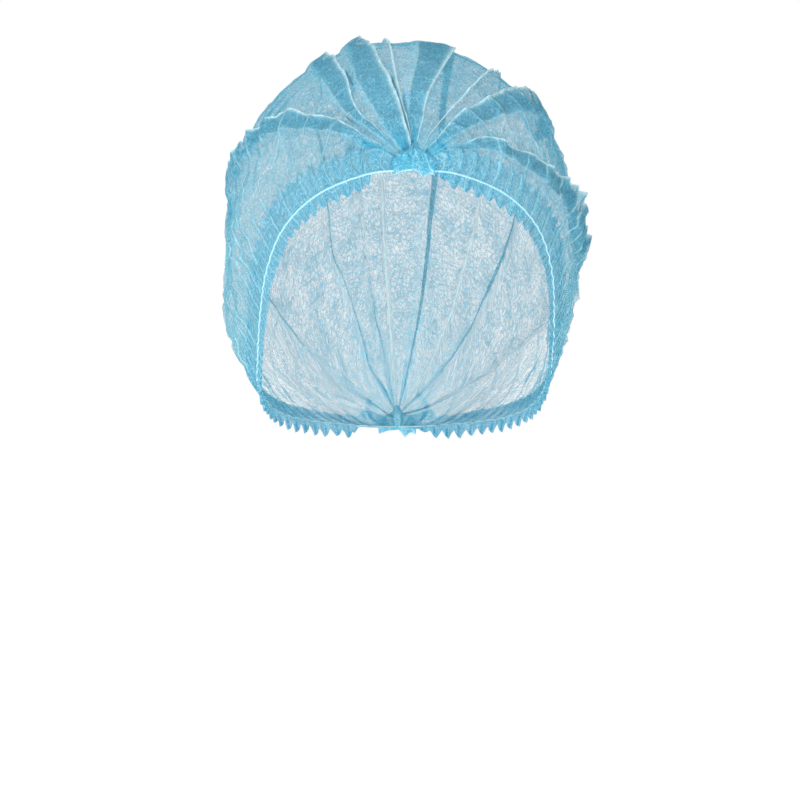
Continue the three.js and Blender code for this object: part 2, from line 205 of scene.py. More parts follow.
def smooth_curve(xs, ys, x):
    """A smooth curve through the points (xs, ys), at every x."""
    xs = np.asarray(xs, float)
    ys = np.asarray(ys, float)
    slope = np.gradient(ys)
    slope[1:-1] = (ys[2:] - ys[:-2]) / (xs[2:] - xs[:-2])
    slope[0] = (ys[1] - ys[0]) / (xs[1] - xs[0])
    slope[-1] = (ys[-1] - ys[-2]) / (xs[-1] - xs[-2])
    i = np.clip(np.searchsorted(xs, x) - 1, 0, len(xs) - 2)
    h = xs[i + 1] - xs[i]
    t = (x - xs[i]) / h
    s = 1 - t
    start = s * s * (1 + 2 * t) * ys[i] + s * s * t * h * slope[i]
    return start + t * t * (1 + 2 * s) * ys[i + 1] - t * t * s * h * slope[i + 1]


def smoothstep(low, high, x):
    t = np.clip((x - low) / (high - low), 0, 1)
    return t * t * (3 - 2 * t)


def soft_noise(x, y, seed):
    """Smooth noise from -1 to 1 with features one unit across."""
    lattice = np.random.default_rng(seed).uniform(-1, 1, (97, 97))
    x, y = np.broadcast_arrays(np.asarray(x, float), np.asarray(y, float))
    left = np.floor(x).astype(int)
    low = np.floor(y).astype(int)
    a = smoothstep(0, 1, x - left)
    b = smoothstep(0, 1, y - low)
    near = lattice[left % 97, low % 97] * (1 - a) + lattice[(left + 1) % 97, low % 97] * a
    far = lattice[left % 97, (low + 1) % 97] * (1 - a)
    far = far + lattice[(left + 1) % 97, (low + 1) % 97] * a
    return near * (1 - b) + far * b


def station(name, u):
    at = STATION_COLUMNS.index(name)
    return smooth_curve([row[0] for row in STATIONS], [row[at] for row in STATIONS], u)


def half_width(u, angle):
    wide = np.where(angle < 0, station("right", u), station("left", u))
    return np.maximum(wide, station("rim_x", u) + 0.01)


def arch_end(u, side):
    """The angle of the rim from the top of the arch, in degrees."""
    ratio = station("rim_x", u) / half_width(u, side)
    return side * (90 + np.degrees(np.arcsin(np.sqrt(1 - ratio**2))))


def arch_point(u, angle):
    """A point of the smooth cap at station u and an angle from its top."""
    u, angle = np.broadcast_arrays(np.asarray(u, float), np.asarray(angle, float))
    rim_y = station("rim_y", u)
    rim_z = station("rim_z", u)
    up_y = station("top_y", u) - rim_y
    up_z = station("top_z", u) - rim_z
    height = np.hypot(up_y, up_z)
    wide = half_width(u, angle)
    below = np.sqrt(1 - (station("rim_x", u) / wide) ** 2)
    radius = height / (1 + below)
    turn = np.radians(angle)
    rise = radius * (below + np.cos(turn))
    x = wide * np.sin(turn) + station("top_x", u) * np.maximum(0, rise / height)
    y = rim_y + up_y / height * rise
    z = rim_z + up_z / height * rise
    return np.stack([x, y, z], axis=-1)


def unit(v):
    return v / np.maximum(np.linalg.norm(v, axis=-1, keepdims=True), 1e-9)


def arch_normal(u, angle):
    """Outward normal of the smooth cap."""
    step = 0.004
    behind = arch_point(np.minimum(u + step, 1), angle)
    along = behind - arch_point(np.maximum(u - step, 0), angle)
    around = arch_point(u, angle + 1) - arch_point(u, angle - 1)
    return unit(np.cross(around, along))


def rim_lengths():
    """Stations along the rim, and the length of rim from the front gather to each."""
    u = np.linspace(0, 1, 1201)
    points = arch_point(u, arch_end(u, 1))
    steps = np.linalg.norm(np.diff(points, axis=0), axis=1)
    return u, np.concatenate([[0], np.cumsum(steps)])


def rim_rows(per_crimp):
    """Stations of the rows of cloth, with their crimp count and their distance from the
    nearer gather. The crimps are not quite even."""
    u, length = rim_lengths()
    phase = np.linspace(0, CRIMPS, CRIMPS * per_crimp + 1)
    fade = np.sin(np.pi * phase / CRIMPS)
    even = (phase + CRIMP_WARP * soft_noise(phase * 0.6, 0.5, 3) * fade) / CRIMPS
    total = length[-1] - 2 * GATHER_MARGIN
    travelled = GATHER_MARGIN + total * even
    near = np.minimum(travelled, length[-1] - travelled) - GATHER_MARGIN
    return np.interp(travelled, length, u), phase, near


def degree_length(u, side):
    """The length of cloth in one degree of a half arch, on average."""
    angles = np.linspace(0, 1, 41)[:, None] * arch_end(u, side)[None, :]
    points = arch_point(u[None, :], angles)
    total = np.linalg.norm(np.diff(points, axis=0), axis=2).sum(axis=0)
    return total / np.abs(arch_end(u, side))


def hem_height(u, side):
    return np.minimum(HEM_HEIGHT, HEM_SHARE * degree_length(u, side) * np.abs(arch_end(u, side)))


def angle_above(u, side, height):
    """The angle at which the arch is a length of cloth above the rim."""
    share = np.linspace(0, 1, 161)[:, None]
    angles = arch_end(u, side)[None, :] * (1 - share)
    points = arch_point(u[None, :], angles)
    steps = np.linalg.norm(np.diff(points, axis=0), axis=2)
    lengths = np.concatenate([np.zeros((1, len(u))), np.cumsum(steps, axis=0)])
    height = np.broadcast_to(height, u.shape)
    found = [np.interp(height[k], lengths[:, k], angles[:, k]) for k in range(len(u))]
    return np.array(found)


def pleat_scale(u):
    size = np.minimum(1, (station("left", u) / WIDEST)) ** LIFT_POWER
    return size * (1 + (BACK_LIFT - 1) * smoothstep(0.45, 0.7, u))


def line_rows(u):
    """Every line of the crown in order round the head: its angles, lifts, strips of cloth
    up to the next line, whether the strip after it is part of a pleat, and how strongly a
    highlight is painted along its crease."""
    rows = []
    for number, values in enumerate(LINES):
        line = dict(zip(LINE_COLUMNS, values))
        crest = smooth_curve(LINE_U, line["crest"], u)
        side = 1 if crest.mean() > 0 else -1
        degree = degree_length(u, side)
        most = 0.12 * np.abs(arch_end(u, side)) * smoothstep(0, 0.1, u)
        wander = line["wave"] * soft_noise(u * 16, number, 11)
        wander = wander + 0.5 * line["wave"] * soft_noise(u * 37, number, 12)
        crest = crest + np.clip(wander / degree, -most, most)
        if line["kind"] == "panel":
            rows.append((crest, line["lift"] + 0 * u, line["columns"], 0, 0))
        elif line["kind"] == "ridge":
            foot = np.minimum(RIDGE_HALF / degree, 3)
            rows.append((crest - foot, 0 * u, 3, 0, 0))
            rows.append((crest - 0.25 * foot, 0.85 * line["lift"] + 0 * u, 1, 0, 0.6))
            rows.append((crest, line["lift"] + 0 * u, 3, 0, 1))
            rows.append((crest + foot, 0 * u, line["columns"], 0, 0))
        else:
            rows.extend(pleat_rows(line, crest, u, degree, number))
    return rows


def pleat_rows(line, crest, u, degree, number):
    """The lines of one pleat, in order round the head."""
    edge = smooth_curve(LINE_U, line["edge"], u)
    edge = crest + (edge - crest) * (1 - BACK_OPEN * smoothstep(0.39, 0.54, u))
    edge = edge + np.clip(0.6 * line["wave"] * soft_noise(u * 21, number, 13) / degree, -2, 2)
    outwards = np.sign((edge - crest).mean())
    rows = []
    for part in PLEAT_PROFILE:
        past = np.clip(part["past"] / degree, -3, 4) * outwards
        angle = crest + (edge - crest) * part["at"] + past
        height = line["lift"] * part["height"] + 0 * u
        rows.append([angle, height, part["columns"], 1, part["crease"]])
    rows[-1][3] = 0
    if outwards > 0:
        rows = rows[::-1]
        columns = [part["columns"] for part in PLEAT_PROFILE][:-1][::-1]
        for row, count in zip(rows, columns + [0]):
            row[2] = count
            row[3] = 1
        rows[-1][3] = 0
    rows[-1][2] = line["columns"]
    return [tuple(row) for row in rows]


def crimp_wave(phase, side):
    """The folded wave of the crimps, from about -0.5 to 1: sharp ridges with hollows between
    them, each ridge with a height of its own."""
    away = np.abs(phase - np.floor(phase + 0.5))
    ridge = (1 - 2 * away) ** 1.7
    return (1.5 * ridge - 0.5) * (1 + 0.45 * soft_noise(phase * 0.9, 0.5 + side, 21))


def saw_wave(phase):
    """A leaning saw tooth from 0 to 1, highest at whole phases."""
    part = (phase + 0.62) % 1
    return np.minimum(part / 0.62, (1 - part) / 0.38)


def lobe_wave(phase):
    """Leaning rounded lobes from 0 to 1, with a sharp notch between each two."""
    part = (phase + 0.55) % 1
    return np.sin(np.pi * part**1.5) ** 0.75


def crimp_at(phase, near, height, side):
    """How far the crimps push the cloth outwards, at a height of cloth above the elastic."""
    grown = 0.12 + 0.88 * smoothstep(8, 22, near)
    to_hem = ELASTIC_CRIMP + (HEM_CRIMP - ELASTIC_CRIMP) * np.clip(height / HEM_HEIGHT, 0, 1)
    above = np.maximum(height - HEM_HEIGHT, 0)
    size = PANEL_CRIMP + (to_hem - PANEL_CRIMP) * np.exp(-above / CRIMP_REACH)
    stray = 0.35 * soft_noise(phase * 0.35, above / 14, 22) * smoothstep(0, 15, above)
    rucks = RUCK * smoothstep(0, 12, above) * (1 - 0.85 * smoothstep(30, 85, above))
    rucks = rucks * (0.6 + 0.55 * soft_noise(phase * 0.3, above / 25, 23))
    ruck_wave = crimp_wave((phase + 1.6 * stray) / 2, side)
    return grown * (size * crimp_wave(phase + stray, side) + rucks * ruck_wave)


def crown_grid():
    """The points of the crown's cloth, with the values that its material reads."""
    u, phase, near = rim_rows(ROWS_PER_CRIMP)
    right = angle_above(u, -1, hem_height(u, -1))
    left = angle_above(u, 1, hem_height(u, 1))
    rows = line_rows(u)
    rows = [(right, 0 * u, EDGE_COLUMNS, 0, 0)] + rows + [(left, 0 * u, 0, 0, 0)]
    last = len(rows) - 1
    angles = []
    lifts = []
    layers = []
    crease_highlights = []
    for k, (angle, lift, columns, folded, crease) in enumerate(rows[:-1]):
        low = right + 0.35 * k
        high = left - 0.35 * (last - k)
        after = rows[k + 1]
        low_after = right + 0.35 * (k + 1)
        high_after = left - 0.35 * (last - k - 1)
        start = np.clip(angle, low, high)
        end = np.clip(after[0], low_after, high_after)
        for j in range(columns):
            t = j / columns
            ease = t if folded else t * t * (3 - 2 * t)
            angles.append(start + (end - start) * t)
            lifts.append(lift + (after[1] - lift) * ease)
            layers.append(folded + 0 * u)
            # Painted highlight of each crest, fading away from it on both sides
            pale = max(crease * (1 - t) ** CREST_FADE, after[4] * t**CREST_FADE)
            crease_highlights.append(pale + 0 * u)
    angles.append(left)
    lifts.append(0 * u)
    layers.append(0 * u)
    crease_highlights.append(0 * u)
    angle = np.stack(angles, axis=1)
    lift = np.stack(lifts, axis=1)
    folded = np.stack(layers, axis=1)
    grid, values = shape_crown(u[:, None], phase[:, None], near[:, None], angle, lift, folded)
    values["crease_highlights"] = np.maximum(np.stack(crease_highlights, axis=1), values["crease_highlights"])
    values["calm"] = 1 - smoothstep(14, 45, near)[:, None]
    return grid, values


def shape_crown(u, phase, near, angle, lift, folded):
    """Stands the crown's cloth off the smooth cap, with its crimps and creases."""
    side = np.where(angle < 0, -1, 1)
    right_degree = degree_length(u[:, 0], -1)[:, None]
    left_degree = degree_length(u[:, 0], 1)[:, None]
    degree = np.where(angle < 0, right_degree, left_degree)
    end = np.where(angle < 0, arch_end(u, -1), arch_end(u, 1))
    height = (np.abs(end) - np.abs(angle)) * degree
    across = angle * degree
    along = phase * CRIMP_LENGTH
    ends = np.exp(-(u / 0.06)) + np.exp(-((1 - u) / 0.06))
    scale = pleat_scale(u)
    small = np.minimum(1, station("left", u) / 30)
    flutes = 1 - 4 * np.abs((angle / 13) % 1 - 0.5)
    fluted = np.exp(-((u / FLUTE_REACH) ** 2)) + np.exp(-(((1 - u) / FLUTE_REACH) ** 2))
    wrinkle = 0.9 * soft_noise(along / 17, across / 14, 31)
    wrinkle = wrinkle + 0.55 * soft_noise(along / 6.5, across / 7.5, 32)
    wrinkle = wrinkle + 0.28 * soft_noise(along / 2.7, across / 3.1, 33)
    ribs = 0.65 * soft_noise(along / 24, angle / 2.6, 34) * (0.4 + fluted)
    crimp = crimp_at(phase, near, height, side)
    sides = smoothstep(SIDE_HEIGHT, 0.5 * SIDE_HEIGHT, height) * smoothstep(14, 45, near)
    wrinkle = wrinkle + SIDE_CRUMPLE * sides * soft_noise(along / 3.4, across / 3.6, 35)
    off = lift * scale + (wrinkle + ribs) * (0.25 + 0.75 * scale) + 0.7 * fluted * flutes * small
    edge = smoothstep(0, 8, height - HEM_HEIGHT)
    points = arch_point(u, angle)
    normals = arch_normal(u, angle)
    off = off * (0.12 + 0.88 * edge) + crimp
    grid = points + normals * off[..., None]
    ahead = 0.4 + 0.6 * np.exp(-(u / 0.1))
    dense = folded * 0.4 * ahead + (0.6 + 0.6 * folded) * ends
    dense = np.maximum(np.clip(dense, 0, 1), np.exp(-((u / 0.04) ** 2)))
    dense = dense - SIDE_THIN * sides * (1 - 0.6 * folded)
    # Painted shade in the deep hollows beside the front gather: it raises the layers above one,
    # which the material darkens
    for turn, wide, place, reach in HOLLOW_SHADES:
        deep = np.exp(-(((angle - turn) / wide) ** 2) - ((u - place) / reach) ** 2)
        dense = dense + 1.3 * deep
    # Painted highlights along the ridges of the small folds at each gather
    rays = np.clip(flutes, 0, 1) ** 2 * np.clip(1.2 * fluted - 0.2, 0, 1) * smoothstep(0, 0.03, u)
    values = {"layers": dense, "phase": phase + 0 * angle, "height": height, "crease_highlights": 0.75 * rays}
    return grid, values


def frill_grown(near, side):
    """How much of the frill's depth there is, from the gather outwards. On the wearer's right
    it starts late and all at once, and on the left it grows slowly."""
    if side < 0:
        return smoothstep(18.5, 22.5, near)
    return smoothstep(4, 24, near)


def hem_grid(side):
    """The doubled hem and its frill: down the outside, round the frill's edge, and back up
    the inside to a free edge with points on it."""
    u, phase, near = rim_rows(HEM_ROWS_PER_CRIMP)
    end = arch_end(u, side)
    point = arch_point(u, end)
    normal = arch_normal(u, end)
    along = arch_point(np.minimum(u + 0.004, 1), arch_end(np.minimum(u + 0.004, 1), side)) - point
    down = unit(np.cross(along, normal)) * side
    top = hem_height(u, side)
    wave = crimp_wave(phase, side)
    grown = 0.12 + 0.88 * smoothstep(8, 22, near)
    tooth = FRILL_TOOTH * (1 - lobe_wave(phase))
    ragged = 0.7 * soft_noise(phase * 1.3, side, 41)
    frill = frill_grown(near, side)
    depth = 0.5 + (FRILL_DEPTH - 0.5 - tooth + ragged) * frill
    sharp = saw_wave(phase) ** 1.6
    tall = np.clip(0.6 + 0.55 * soft_noise(phase * 0.8, 2.5 * side, 42), 0.15, 1.1)
    free = top + (SPIKE * sharp * tall - 1.2) * np.minimum(1, top / HEM_HEIGHT)
    columns = []
    heights = []
    for t in np.linspace(0, 1, OUTER_STEPS + 1):
        columns.append(upper_cloth(u, side, top * (1 - t), phase, near, "outer"))
        heights.append(top * (1 - t))
    for ply, shares in (("outer", FRILL_OUT), ("inner", FRILL_BACK)):
        for share in shares:
            reach = depth * share
            gap = 0.5 * PLY_GAP * (1 - share**3) * (1 if ply == "outer" else -1)
            flare = FRILL_FLARE * reach + gap
            amount = (ELASTIC_CRIMP + (FRILL_CRIMP - ELASTIC_CRIMP) * share * frill) * grown
            shift = soft_noise(phase * 0.7, 3.0 * side, 43) * 0.5 * share
            offset = flare + amount * wave
            place = point + down * reach[:, None] + normal * offset[:, None]
            place = place + unit(along) * shift[:, None]
            columns.append(place)
            heights.append(-reach)
    for t in np.linspace(0, 1, INNER_STEPS + 1):
        columns.append(upper_cloth(u, side, free * t, phase, near, "inner"))
        heights.append(free * t)
    grid = np.stack(columns, axis=1)
    height = np.stack(heights, axis=1)
    dense = np.where(height < 0, 0.6, 0.42) + 0.4 * np.exp(-near / 14)[:, None]
    # Painted highlights along the elastic's channel and along the free edge of the inner cloth
    pale = np.exp(-((height / 0.6) ** 2))
    pale[:, -1] = 0.7
    if side < 0:
        grid = grid[:, ::-1]
        height = height[:, ::-1]
        pale = pale[:, ::-1]
    values = {"layers": dense, "phase": phase[:, None] + 0 * height, "height": height}
    values["crease_highlights"] = pale
    return grid, values


def upper_cloth(u, side, height, phase, near, ply):
    """The hem's cloth above the elastic, one line of points at a height above the rim."""
    angle = angle_above(u, side, np.maximum(height, 0))
    crimp = crimp_at(phase, near, height, side)
    apart = 0 if ply == "outer" else -PLY_GAP - 0.8 * smoothstep(8, 17, height)
    channel = 0.2 * np.exp(-((height / 1.3) ** 2))
    off = crimp + (channel if ply == "outer" else apart - channel)
    return arch_point(u, angle) + arch_normal(u, angle) * off[:, None]


def elastic_grid(side):
    """The covered elastic that runs along the foot of the hem, as a thin ribbed tube."""
    u, phase, near = rim_rows(HEM_ROWS_PER_CRIMP)
    end = arch_end(u, side)
    normal = arch_normal(u, end)
    along = unit(np.gradient(arch_point(u, end), axis=0))
    crimp = crimp_at(phase, near, 0 * u, side)
    off = crimp + 0.3
    middle = arch_point(u, end) + normal * off[:, None]
    sideways = unit(np.cross(along, normal))
    rib = ELASTIC_RADIUS * (1 + 0.1 * np.sin(phase * 2 * np.pi * 3.5))
    columns = []
    for turn in np.linspace(0, 2 * np.pi, 11):
        out = normal * math.cos(turn) + sideways * math.sin(turn) * side
        columns.append(middle + out * rib[:, None])
    grid = np.stack(columns, axis=1)
    zero = np.zeros(grid.shape[:2])
    return grid, {"layers": zero, "phase": phase[:, None] + zero, "height": zero}


def gather_grid():
    """The bunched and welded end of the pleats, about its own middle."""
    z = np.linspace(GATHER[0][0], GATHER[-1][0], 70)
    heights = [row[0] for row in GATHER][::-1]
    column = {}
    for at, name in enumerate(GATHER_COLUMNS):
        column[name] = smooth_curve(heights, [row[at] for row in GATHER][::-1], z)[:, None]
    z = z[:, None]
    t = np.linspace(-1, 1, 12 * 13 + 1)[None, :]
    x = column["half"] * t
    turn = np.degrees(np.arctan2(x, 7.5 - z))
    rays = 1 - 4 * np.abs((turn / RAY_ANGLE + 0.4 * soft_noise(z / 3, t * 3, 51)) % 1 - 0.5)
    level = 1 - 4 * np.abs((z / 1.7 + 0.05 * x + 0.5 * soft_noise(z / 3, t * 2, 54)) % 1 - 0.5)
    lower = smoothstep(-0.5, -4.5, z) * smoothstep(0.1, -0.4, t)
    folds = rays * (1 - lower) + level * lower
    bulge = np.sqrt(np.maximum(0, 1 - (t * 0.98) ** 2))
    crumple = 0.3 * soft_noise(z / 1.6 + t * 3, t * 8, 52)
    curl = 0.3 * soft_noise(z / 3.5, t * 4, 53)
    below = np.clip(z / GATHER[-1][0], 0, 1) ** 2
    flap = FLAP_DEPTH * np.maximum(0, 1 - np.abs(t - FLAP_PLACE) / FLAP_HALF) * below
    out = column["out"] * (0.3 + 0.7 * bulge) + column["fold"] * folds * (0.4 + 0.6 * bulge)
    y = -(out + crumple) - 0.25 * flap
    arched = 0.03 * x**2 * below
    grid = np.stack([x + curl, y, z + 0.5 * curl - flap - arched], axis=-1)
    zero = np.zeros(grid.shape[:2])
    values = {"layers": 0.75 + 0.25 * folds + zero, "phase": zero, "height": zero}
    # Painted highlights on the ridges of the folds and along the band at the foot
    rim = np.exp(-((z - GATHER[-1][0]) / 0.35) ** 2)
    values["crease_highlights"] = np.maximum(np.clip(folds, 0, 1) ** 3 * 0.8, rim + zero)
    return grid, values


def make_mesh(name, grid, values, material, per_crimp=1):
    """A sheet of cloth from a grid of points in millimetres, with its flat coordinates."""
    rows, columns = grid.shape[:2]
    index = np.arange(rows * columns).reshape(rows, columns)
    a = index[:-1, :-1].ravel()
    b = index[:-1, 1:].ravel()
    c = index[1:, 1:].ravel()
    d = index[1:, :-1].ravel()
    faces = np.stack([a, b, c, d], axis=1)
    mesh = bpy.data.meshes.new(name)
    mesh.from_pydata((grid.reshape(-1, 3) * MM).tolist(), [], faces.tolist())
    flat = flat_coordinates(grid, per_crimp)
    add_map(mesh, "cloth", flat * MM)
    crimps = np.stack([values["phase"], values["height"] * 0.1], axis=-1)
    add_map(mesh, "crimps", crimps)
    for name_of_value in ("layers", "crease_highlights", "calm"):
        shares = np.broadcast_to(values.get(name_of_value, 0.0), grid.shape[:2])
        attribute = mesh.attributes.new(name_of_value, "FLOAT", "POINT")
        attribute.data.foreach_set("value", shares.astype(np.float32).ravel())
    mesh.shade_smooth()
    mesh.set_sharp_from_angle(angle=math.radians(SHARP_ANGLE))
    piece = bpy.data.objects.new(name, mesh)
    bpy.context.scene.collection.objects.link(piece)
    piece.data.materials.append(material)
    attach(piece, "root")
    return piece


def add_map(mesh, name, values):
    corners = np.empty(len(mesh.loops), np.int32)
    mesh.loops.foreach_get("vertex_index", corners)
    layer = mesh.uv_layers.new(name=name)
    layer.uv.foreach_set("vector", values.reshape(-1, 2)[corners].astype(np.float32).ravel())


def flat_coordinates(grid, per_crimp):
    """Where each point lies on the flat cloth, in millimetres. The cloth that is bunched
    by the crimps and towards the gathers counts as partly stretched, so that its fibres
    don't crowd there."""
    along = np.linalg.norm(np.diff(grid[::per_crimp], axis=0), axis=2)
    along = np.concatenate([np.zeros((1, grid.shape[1])), np.cumsum(along, axis=0)])
    place = np.arange(grid.shape[0]) / per_crimp
    before = np.minimum(place.astype(int), len(along) - 2)
    share = (place - before)[:, None]
    along = along[before] * (1 - share) + along[before + 1] * share
    across = np.linalg.norm(np.diff(grid, axis=1), axis=2)
    across = np.concatenate([np.zeros((grid.shape[0], 1)), np.cumsum(across, axis=1)], axis=1)
    middle = across[:, grid.shape[1] // 2][:, None]
    width = across[:, -1:]
    wide = (width.mean() / np.maximum(width, 1)) ** 0.4
    return np.stack([along, (across - middle) * wide], axis=-1)


class Nodes:
    """The shader nodes of one material. Each call adds a node and gives its first output."""

    def __init__(self, name):
        self.material = bpy.data.materials.new(name)
        self.material.use_nodes = True
        self.tree = self.material.node_tree
        self.tree.nodes.clear()

    def add(self, kind, inputs, **settings):
        node = self.tree.nodes.new("ShaderNode" + kind)
        for key, value in settings.items():
            setattr(node, key, value)
        for socket, value in inputs.items():
            if isinstance(value, bpy.types.NodeSocket):
                self.tree.links.new(value, node.inputs[socket])
            else:
                node.inputs[socket].default_value = value
        return node.outputs[0]

    def maths(self, operation, a, b=0.0):
        return self.add("Math", {0: a, 1: b}, operation=operation)

    def spread(self, value, low, high, to_low=0.0, to_high=1.0):
        inputs = {0: value, 1: low, 2: high, 3: to_low, 4: to_high}
        return self.add("MapRange", inputs, interpolation_type="SMOOTHSTEP")

    def noise(self, place, scale, detail=2.0, distortion=0.0, roughness=0.5):
        inputs = {"Vector": place, "Scale": scale, "Detail": detail, "Roughness": roughness}
        inputs["Distortion"] = distortion
        return self.add("TexNoise", inputs, noise_dimensions="3D")

    def moved(self, place, offset):
        return self.add("VectorMath", {0: place, 1: offset}, operation="ADD")


def curly_fibres(nodes, place, scale, width, offset):
    """Curly fibres along the level line of a warped noise."""
    field = nodes.noise(nodes.moved(place, offset), scale, 1.5, 1.3)
    away = nodes.maths("ABSOLUTE", nodes.maths("SUBTRACT", field, 0.5))
    return nodes.spread(away, width, width * 0.25)


def looped_fibres(nodes, place, scale, width):
    """Fibres that close into small crooked loops."""
    stray = nodes.noise(place, 0.5, 1.0).node.outputs["Color"]
    inputs = {0: stray, 1: (2.6, 2.6, 0), 2: place}
    warped = nodes.add("VectorMath", inputs, operation="MULTIPLY_ADD")
    inputs = {"Vector": warped, "Scale": scale}
    away = nodes.add(
        "TexVoronoi", inputs, feature="DISTANCE_TO_EDGE", voronoi_dimensions="2D"
    )
    return nodes.spread(away, width, width * 0.3)


def crease_lines(nodes, phase, height, per_crimp, width, offset):
    """Fine creases across the pleats, one at the same place of every crimp, some missing."""
    stray = nodes.noise(nodes.moved(height, offset), 0.9, 2.0)
    moved = nodes.maths("ADD", phase, nodes.maths("MULTIPLY", stray, 0.35))
    wave = nodes.maths("PINGPONG", nodes.maths("MULTIPLY", moved, per_crimp), 0.5)
    line = nodes.spread(wave, width, 0.0)
    present = nodes.noise(nodes.moved(height, (offset[0] + 9, 4, 0)), 0.45, 1.0)
    return nodes.maths("MULTIPLY", line, nodes.spread(present, 0.36, 0.5))


def cloth_material(name, web, deep, pale, cover, crease=1.0):
    """Thin spunbond cloth: curly fibres over a see-through web, in uneven clouds, with pale
    crease lines beside painted shadow lines, painted highlights on crests, painted shade in
    deep hollows, and deeper in colour where layers lie on each other."""
    nodes = Nodes(name)
    flat = nodes.add("UVMap", {}, uv_map="cloth")
    place = nodes.add("VectorMath", {0: flat, 3: 1000.0}, operation="SCALE")
    crimps = nodes.add("UVMap", {}, uv_map="crimps")
    phase = nodes.add("SeparateXYZ", {0: crimps})
    layers = nodes.add("Attribute", {}, attribute_name="layers").node.outputs["Fac"]
    crease_highlights = nodes.add("Attribute", {}, attribute_name="crease_highlights").node.outputs["Fac"]
    calm = nodes.add("Attribute", {}, attribute_name="calm").node.outputs["Fac"]
    long_fibres = curly_fibres(nodes, place, 0.24, 0.034, (0, 0, 0))
    mid_fibres = curly_fibres(nodes, place, 0.42, 0.042, (31, 7, 5))
    loops = looped_fibres(nodes, place, 0.34, 0.1)
    fibres = nodes.maths("MAXIMUM", long_fibres, nodes.maths("MULTIPLY", mid_fibres, 0.8))
    fibres = nodes.maths("MAXIMUM", fibres, nodes.maths("MULTIPLY", loops, 0.85))
    cloud = nodes.noise(nodes.moved(place, (5, 5, 3)), 0.09, 3.0, 0.4, 0.6)
    grain = nodes.noise(nodes.moved(place, (2, 9, 7)), 1.1, 2.0)
    height = phase.node.outputs["Y"]
    fine = crease_lines(nodes, phase, crimps, 1.0, 0.085, (3, 1, 0))
    fine = nodes.maths("MULTIPLY", fine, nodes.spread(height, 4.0, 1.5, 0.2 * crease, crease))
    wide = crease_lines(nodes, phase, crimps, 0.5, 0.07, (17, 8, 0))
    wide = nodes.maths("MULTIPLY", wide, nodes.spread(height, 8.0, 4.0, 0.12 * crease, crease))
    lines = nodes.maths("MAXIMUM", fine, wide)
    lines = nodes.maths("MULTIPLY", lines, nodes.maths("SUBTRACT", 1.0, calm))
    # Painted shadow: a dark line just beside each crimp's crease, and painted shade where the
    # layers run above one, in the deep hollows
    hollow_shade = nodes.maths("PINGPONG", nodes.maths("SUBTRACT", phase, 0.16), 0.5)
    hollow_shade = nodes.maths("MULTIPLY", nodes.spread(hollow_shade, 0.12, 0.03), layers)
    hollow_shade = nodes.maths("MULTIPLY", hollow_shade, nodes.spread(height, 3.0, 1.6, 0.0, crease))
    hollow_shade = nodes.maths("MAXIMUM", hollow_shade, nodes.spread(layers, 1.05, 1.7))
    # Painted highlight on crests and creases, which also makes the cloth there denser
    crest = nodes.spread(crease_highlights, 0.35, 0.95)
    cover_steps = (
        nodes.spread(cloud, 0.3, 0.7, cover - 0.09, cover + 0.09),
        nodes.maths("MULTIPLY", fibres, 0.42),
        nodes.spread(grain, 0.3, 0.7, -0.08, 0.08),
        nodes.maths("MULTIPLY", lines, 0.45),
        nodes.maths("MULTIPLY", hollow_shade, 0.5),
        nodes.maths("MULTIPLY", layers, 0.3),
        nodes.maths("MULTIPLY", crest, 0.5),
    )
    cover_all = cover_steps[0]
    for step in cover_steps[1:]:
        cover_all = nodes.maths("ADD", cover_all, step)
    cover_all = nodes.maths("MINIMUM", cover_all, 0.97)
    colour = add_colour_mix(nodes, {"Factor": nodes.spread(layers, 0, 0.7), "A": web, "B": deep})
    bunched = nodes.spread(layers, 0.6, 1.1)
    colour = add_colour_mix(nodes, {"Factor": bunched, "A": colour, "B": GATHER_BLUE})
    # Painted shade beside the crimps' creases and in the deep hollows
    colour = add_colour_mix(nodes, {"Factor": hollow_shade, "A": colour, "B": HOLLOW_SHADE_BLUE})
    seen = nodes.maths("MULTIPLY", nodes.spread(layers, 0.0, 0.5, 0.15, 0.65), fibres)
    seen = nodes.maths("MULTIPLY", seen, nodes.spread(layers, 0.6, 1.0, 1.0, 0.35))
    paler = nodes.maths("MAXIMUM", nodes.maths("MULTIPLY", lines, 0.9), seen)
    # Painted highlights along creases, in the pale colour
    paler = nodes.maths("MAXIMUM", paler, nodes.maths("MULTIPLY", crease_highlights, 0.9))
    paler = nodes.maths("MAXIMUM", paler, nodes.spread(layers, 0.0, -0.5, 0.0, 0.45))
    colour = add_colour_mix(nodes, {"Factor": paler, "A": colour, "B": pale})
    # Painted highlight on the crests
    colour = add_colour_mix(nodes, {"Factor": crest, "A": colour, "B": CREST_HIGHLIGHT_BLUE})
    relief = nodes.maths("ADD", fibres, nodes.maths("MULTIPLY", lines, 1.5))
    bump = nodes.add("Bump", {"Height": relief, "Strength": 0.9, "Distance": 0.0004})
    cloth = nodes.add(
        "BsdfPrincipled",
        {"Base Color": colour, "Roughness": 0.72, "Normal": bump, "Specular IOR Level": 0.25},
    )
    glow = nodes.add("BsdfTranslucent", {"Color": colour, "Normal": bump})
    lit = nodes.add("MixShader", {0: 0.35, 1: cloth, 2: glow})
    clear = nodes.add("BsdfTransparent", {})
    finish_material(nodes, nodes.add("MixShader", {0: cover_all, 1: clear, 2: lit}))
    return nodes.material


def add_colour_mix(nodes, inputs):
    """A colour mixed by a factor; the node has other inputs of the same names."""
    mix = nodes.tree.nodes.new("ShaderNodeMix")
    mix.data_type = "RGBA"
    for socket, place in (("Factor", 0), ("A", 6), ("B", 7)):
        value = inputs[socket]
        if isinstance(value, bpy.types.NodeSocket):
            nodes.tree.links.new(value, mix.inputs[place])
        else:
            mix.inputs[place].default_value = value
    return mix.outputs[2]


def finish_material(nodes, shader):
    output = nodes.tree.nodes.new("ShaderNodeOutputMaterial")
    nodes.tree.links.new(shader, output.inputs["Surface"])


